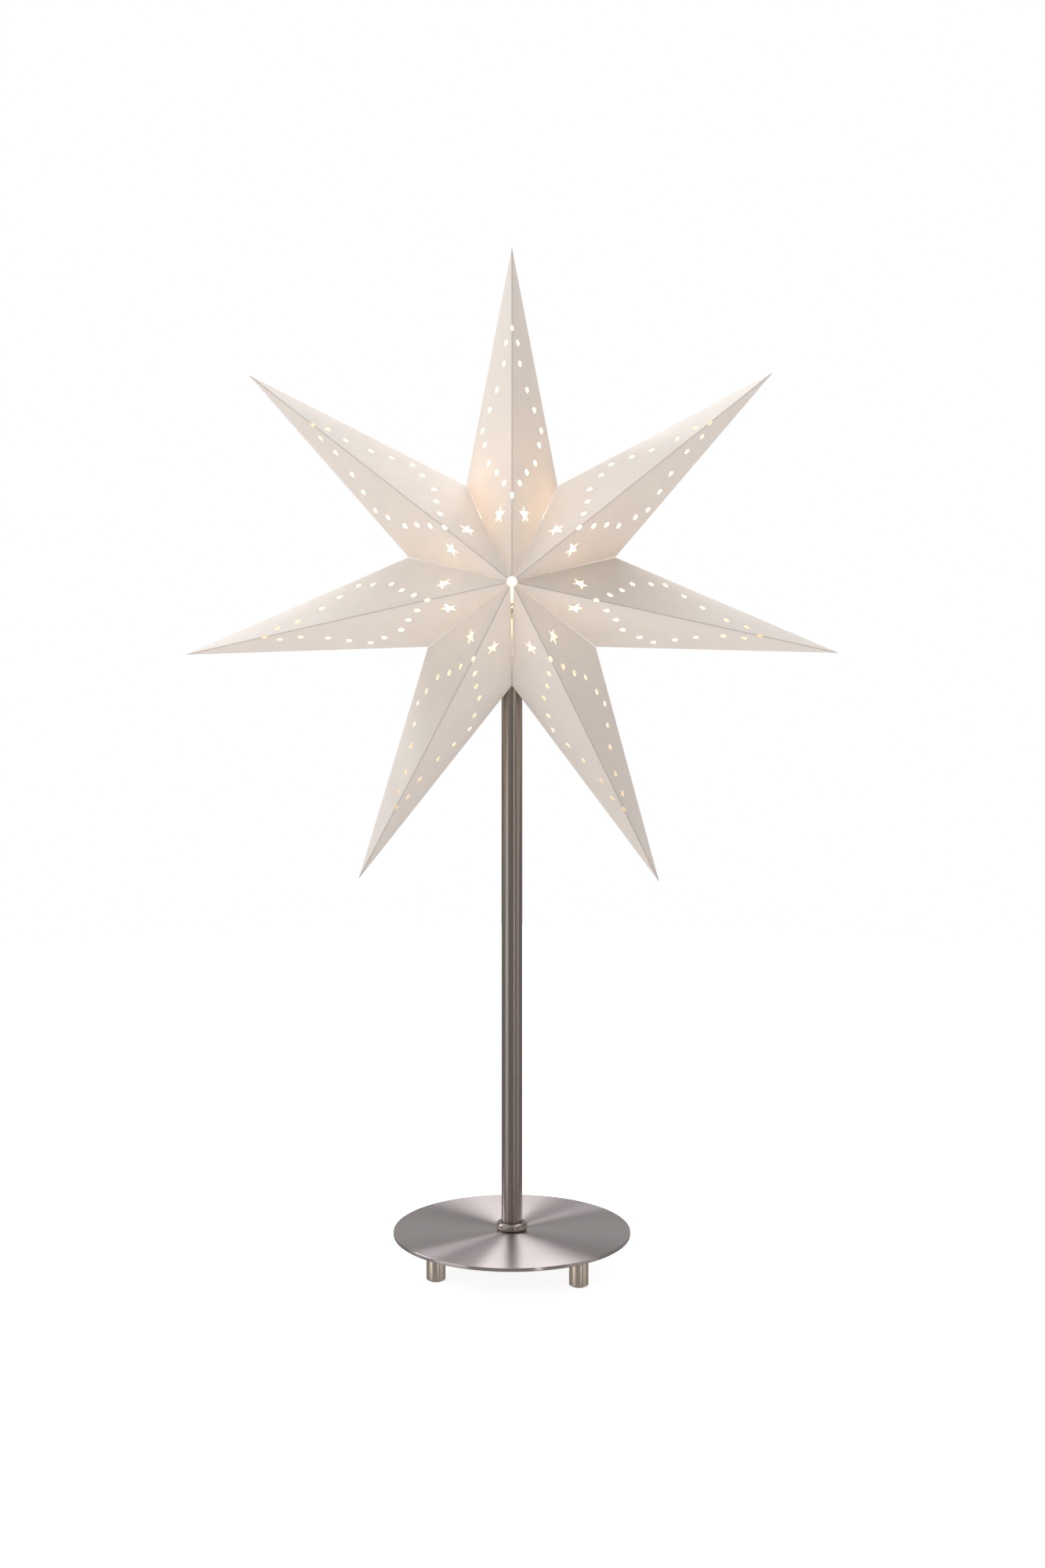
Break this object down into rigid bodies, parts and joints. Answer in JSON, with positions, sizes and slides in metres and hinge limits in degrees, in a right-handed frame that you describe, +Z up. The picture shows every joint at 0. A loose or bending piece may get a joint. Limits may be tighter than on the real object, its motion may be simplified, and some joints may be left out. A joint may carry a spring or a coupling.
{
  "type": "table lamp",
  "caption": "Table lamp with a seven-pointed folded paper star shade, punched with holes, on a brushed steel tube and round base plate",
  "frame": {"origin": "on the floor, on the axis of the stem tube, under the middle of the base plate", "axes": "+Z up along the stem, the star faces -Y, +X to the right seen from the front"},
  "size_m": [0.342, 0.1244, 0.5364],
  "materials": {
    "paper_white": "matt white folded paper, glowing warm where the bulb is behind it",
    "steel_brushed": "brushed, round the axis on the plate and round the tube",
    "steel_plain": "plain zinc-plated",
    "plastic_black": "moulded black",
    "plastic_white": "moulded white",
    "rubber_dark": "moulded dark grey",
    "ceramic_white": "pressed, unglazed",
    "brass": "stamped",
    "glass_clear": "clear, lit",
    "glass_black": "black glass",
    "tungsten": "coiled wire"
  },
  "bodies": {
    "stand": {"foot_1": "steel_brushed", "foot_pad_1": "rubber_dark", "foot_2": "steel_brushed", "foot_pad_2": "rubber_dark", "foot_3": "steel_brushed", "foot_pad_3": "rubber_dark", "base_plate": "steel_brushed", "stem_tube": "steel_brushed", "stem_collar": "steel_brushed", "lock_washer": "steel_plain", "stem_nut": "steel_plain", "cord_bush": "plastic_black", "holder_cap": "plastic_white", "holder_grub_screw": "steel_plain", "holder_shell": "plastic_white", "shade_ring": "plastic_white", "contact_block": "ceramic_white", "shell_contact": "brass", "centre_contact": "brass", "terminal_screw_1": "brass", "terminal_screw_2": "brass"},
    "star": {"star_point_1": "paper_white", "star_point_2": "paper_white", "star_point_3": "paper_white", "star_point_4": "paper_white", "star_point_5": "paper_white", "star_point_6": "paper_white", "star_point_7": "paper_white", "seam_clip_1": "steel_plain", "seam_clip_2": "steel_plain", "star_hoop": "steel_plain"},
    "bulb_contact": {"bulb_tip": "steel_plain", "bulb_insulator": "glass_black"},
    "bulb": {"bulb_cap": "steel_plain", "bulb_glass": "glass_clear", "bulb_mount": "glass_clear", "bulb_lead_1": "steel_plain", "bulb_lead_2": "steel_plain", "bulb_filament": "tungsten"}
  },
  "joints": [
    {"name": "star_turn", "type": "hinge", "parent": "stand", "child": "star", "pos_m": [0, 0, 0.3614], "axis": [0, 0, 1], "continuous": true},
    {"name": "bulb_rise", "type": "slide", "parent": "stand", "child": "bulb_contact", "axis": [0, 0, 1], "range_m": [0, 0.0085]},
    {"name": "bulb_turn", "type": "hinge", "parent": "bulb_contact", "child": "bulb", "pos_m": [0, 0, 0.3614], "axis": [0, 0, 1], "range_deg": [0, 1080]}
  ],
  "couplings": [
    {"joint": "bulb_rise", "follows": "bulb_turn", "m_per_rad": 0.00044882}
  ]
}
